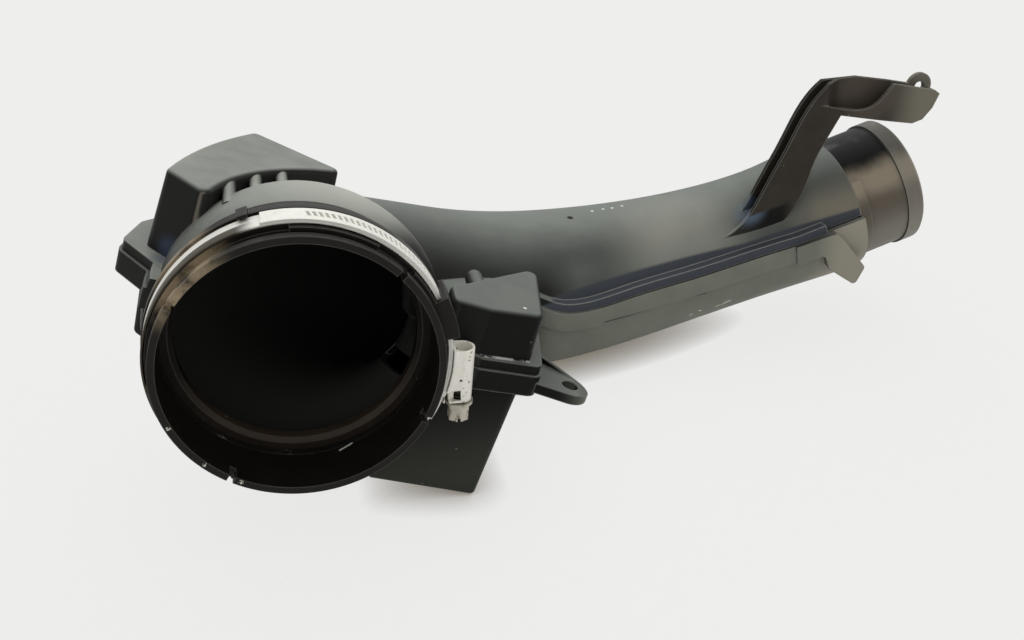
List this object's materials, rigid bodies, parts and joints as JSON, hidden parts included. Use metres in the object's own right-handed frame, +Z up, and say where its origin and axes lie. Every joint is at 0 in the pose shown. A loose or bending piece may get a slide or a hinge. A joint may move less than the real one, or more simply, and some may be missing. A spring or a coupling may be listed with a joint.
{
  "type": "air intake resonator duct",
  "caption": "Curved moulded air intake duct with resonator chambers beside its wide inlet collar, a worm-drive clamp on the collar, a bracket arm over the outlet and a bolt ear.",
  "frame": {"origin": "centre of the inlet collar's rim", "axes": "-Y out of the mouth, +Z up as the duct lies, +X towards the outlet"},
  "size_m": [0.3643, 0.1864, 0.1311],
  "materials": {
    "moulded_plastic": "moulded, dusty and scuffed",
    "seal_rubber": "matt",
    "clamp_steel": "dull, with dirt in the slots"
  },
  "bodies": {
    "duct": {"inlet_collar": "moulded_plastic", "collar_seal": "seal_rubber", "upper_shell": "moulded_plastic", "lower_shell": "moulded_plastic", "outlet_spigot": "moulded_plastic", "clamp_band": "clamp_steel", "clamp_housing": "clamp_steel"},
    "clamp_screw": {"clamp_screw": "clamp_steel"}
  },
  "joints": [
    {"name": "clamp_screw_turn", "type": "hinge", "parent": "duct", "child": "clamp_screw", "pos_m": [0.0563, 0.0115, -0.013], "axis": [0.0872, 0, 0.9962], "continuous": true}
  ]
}
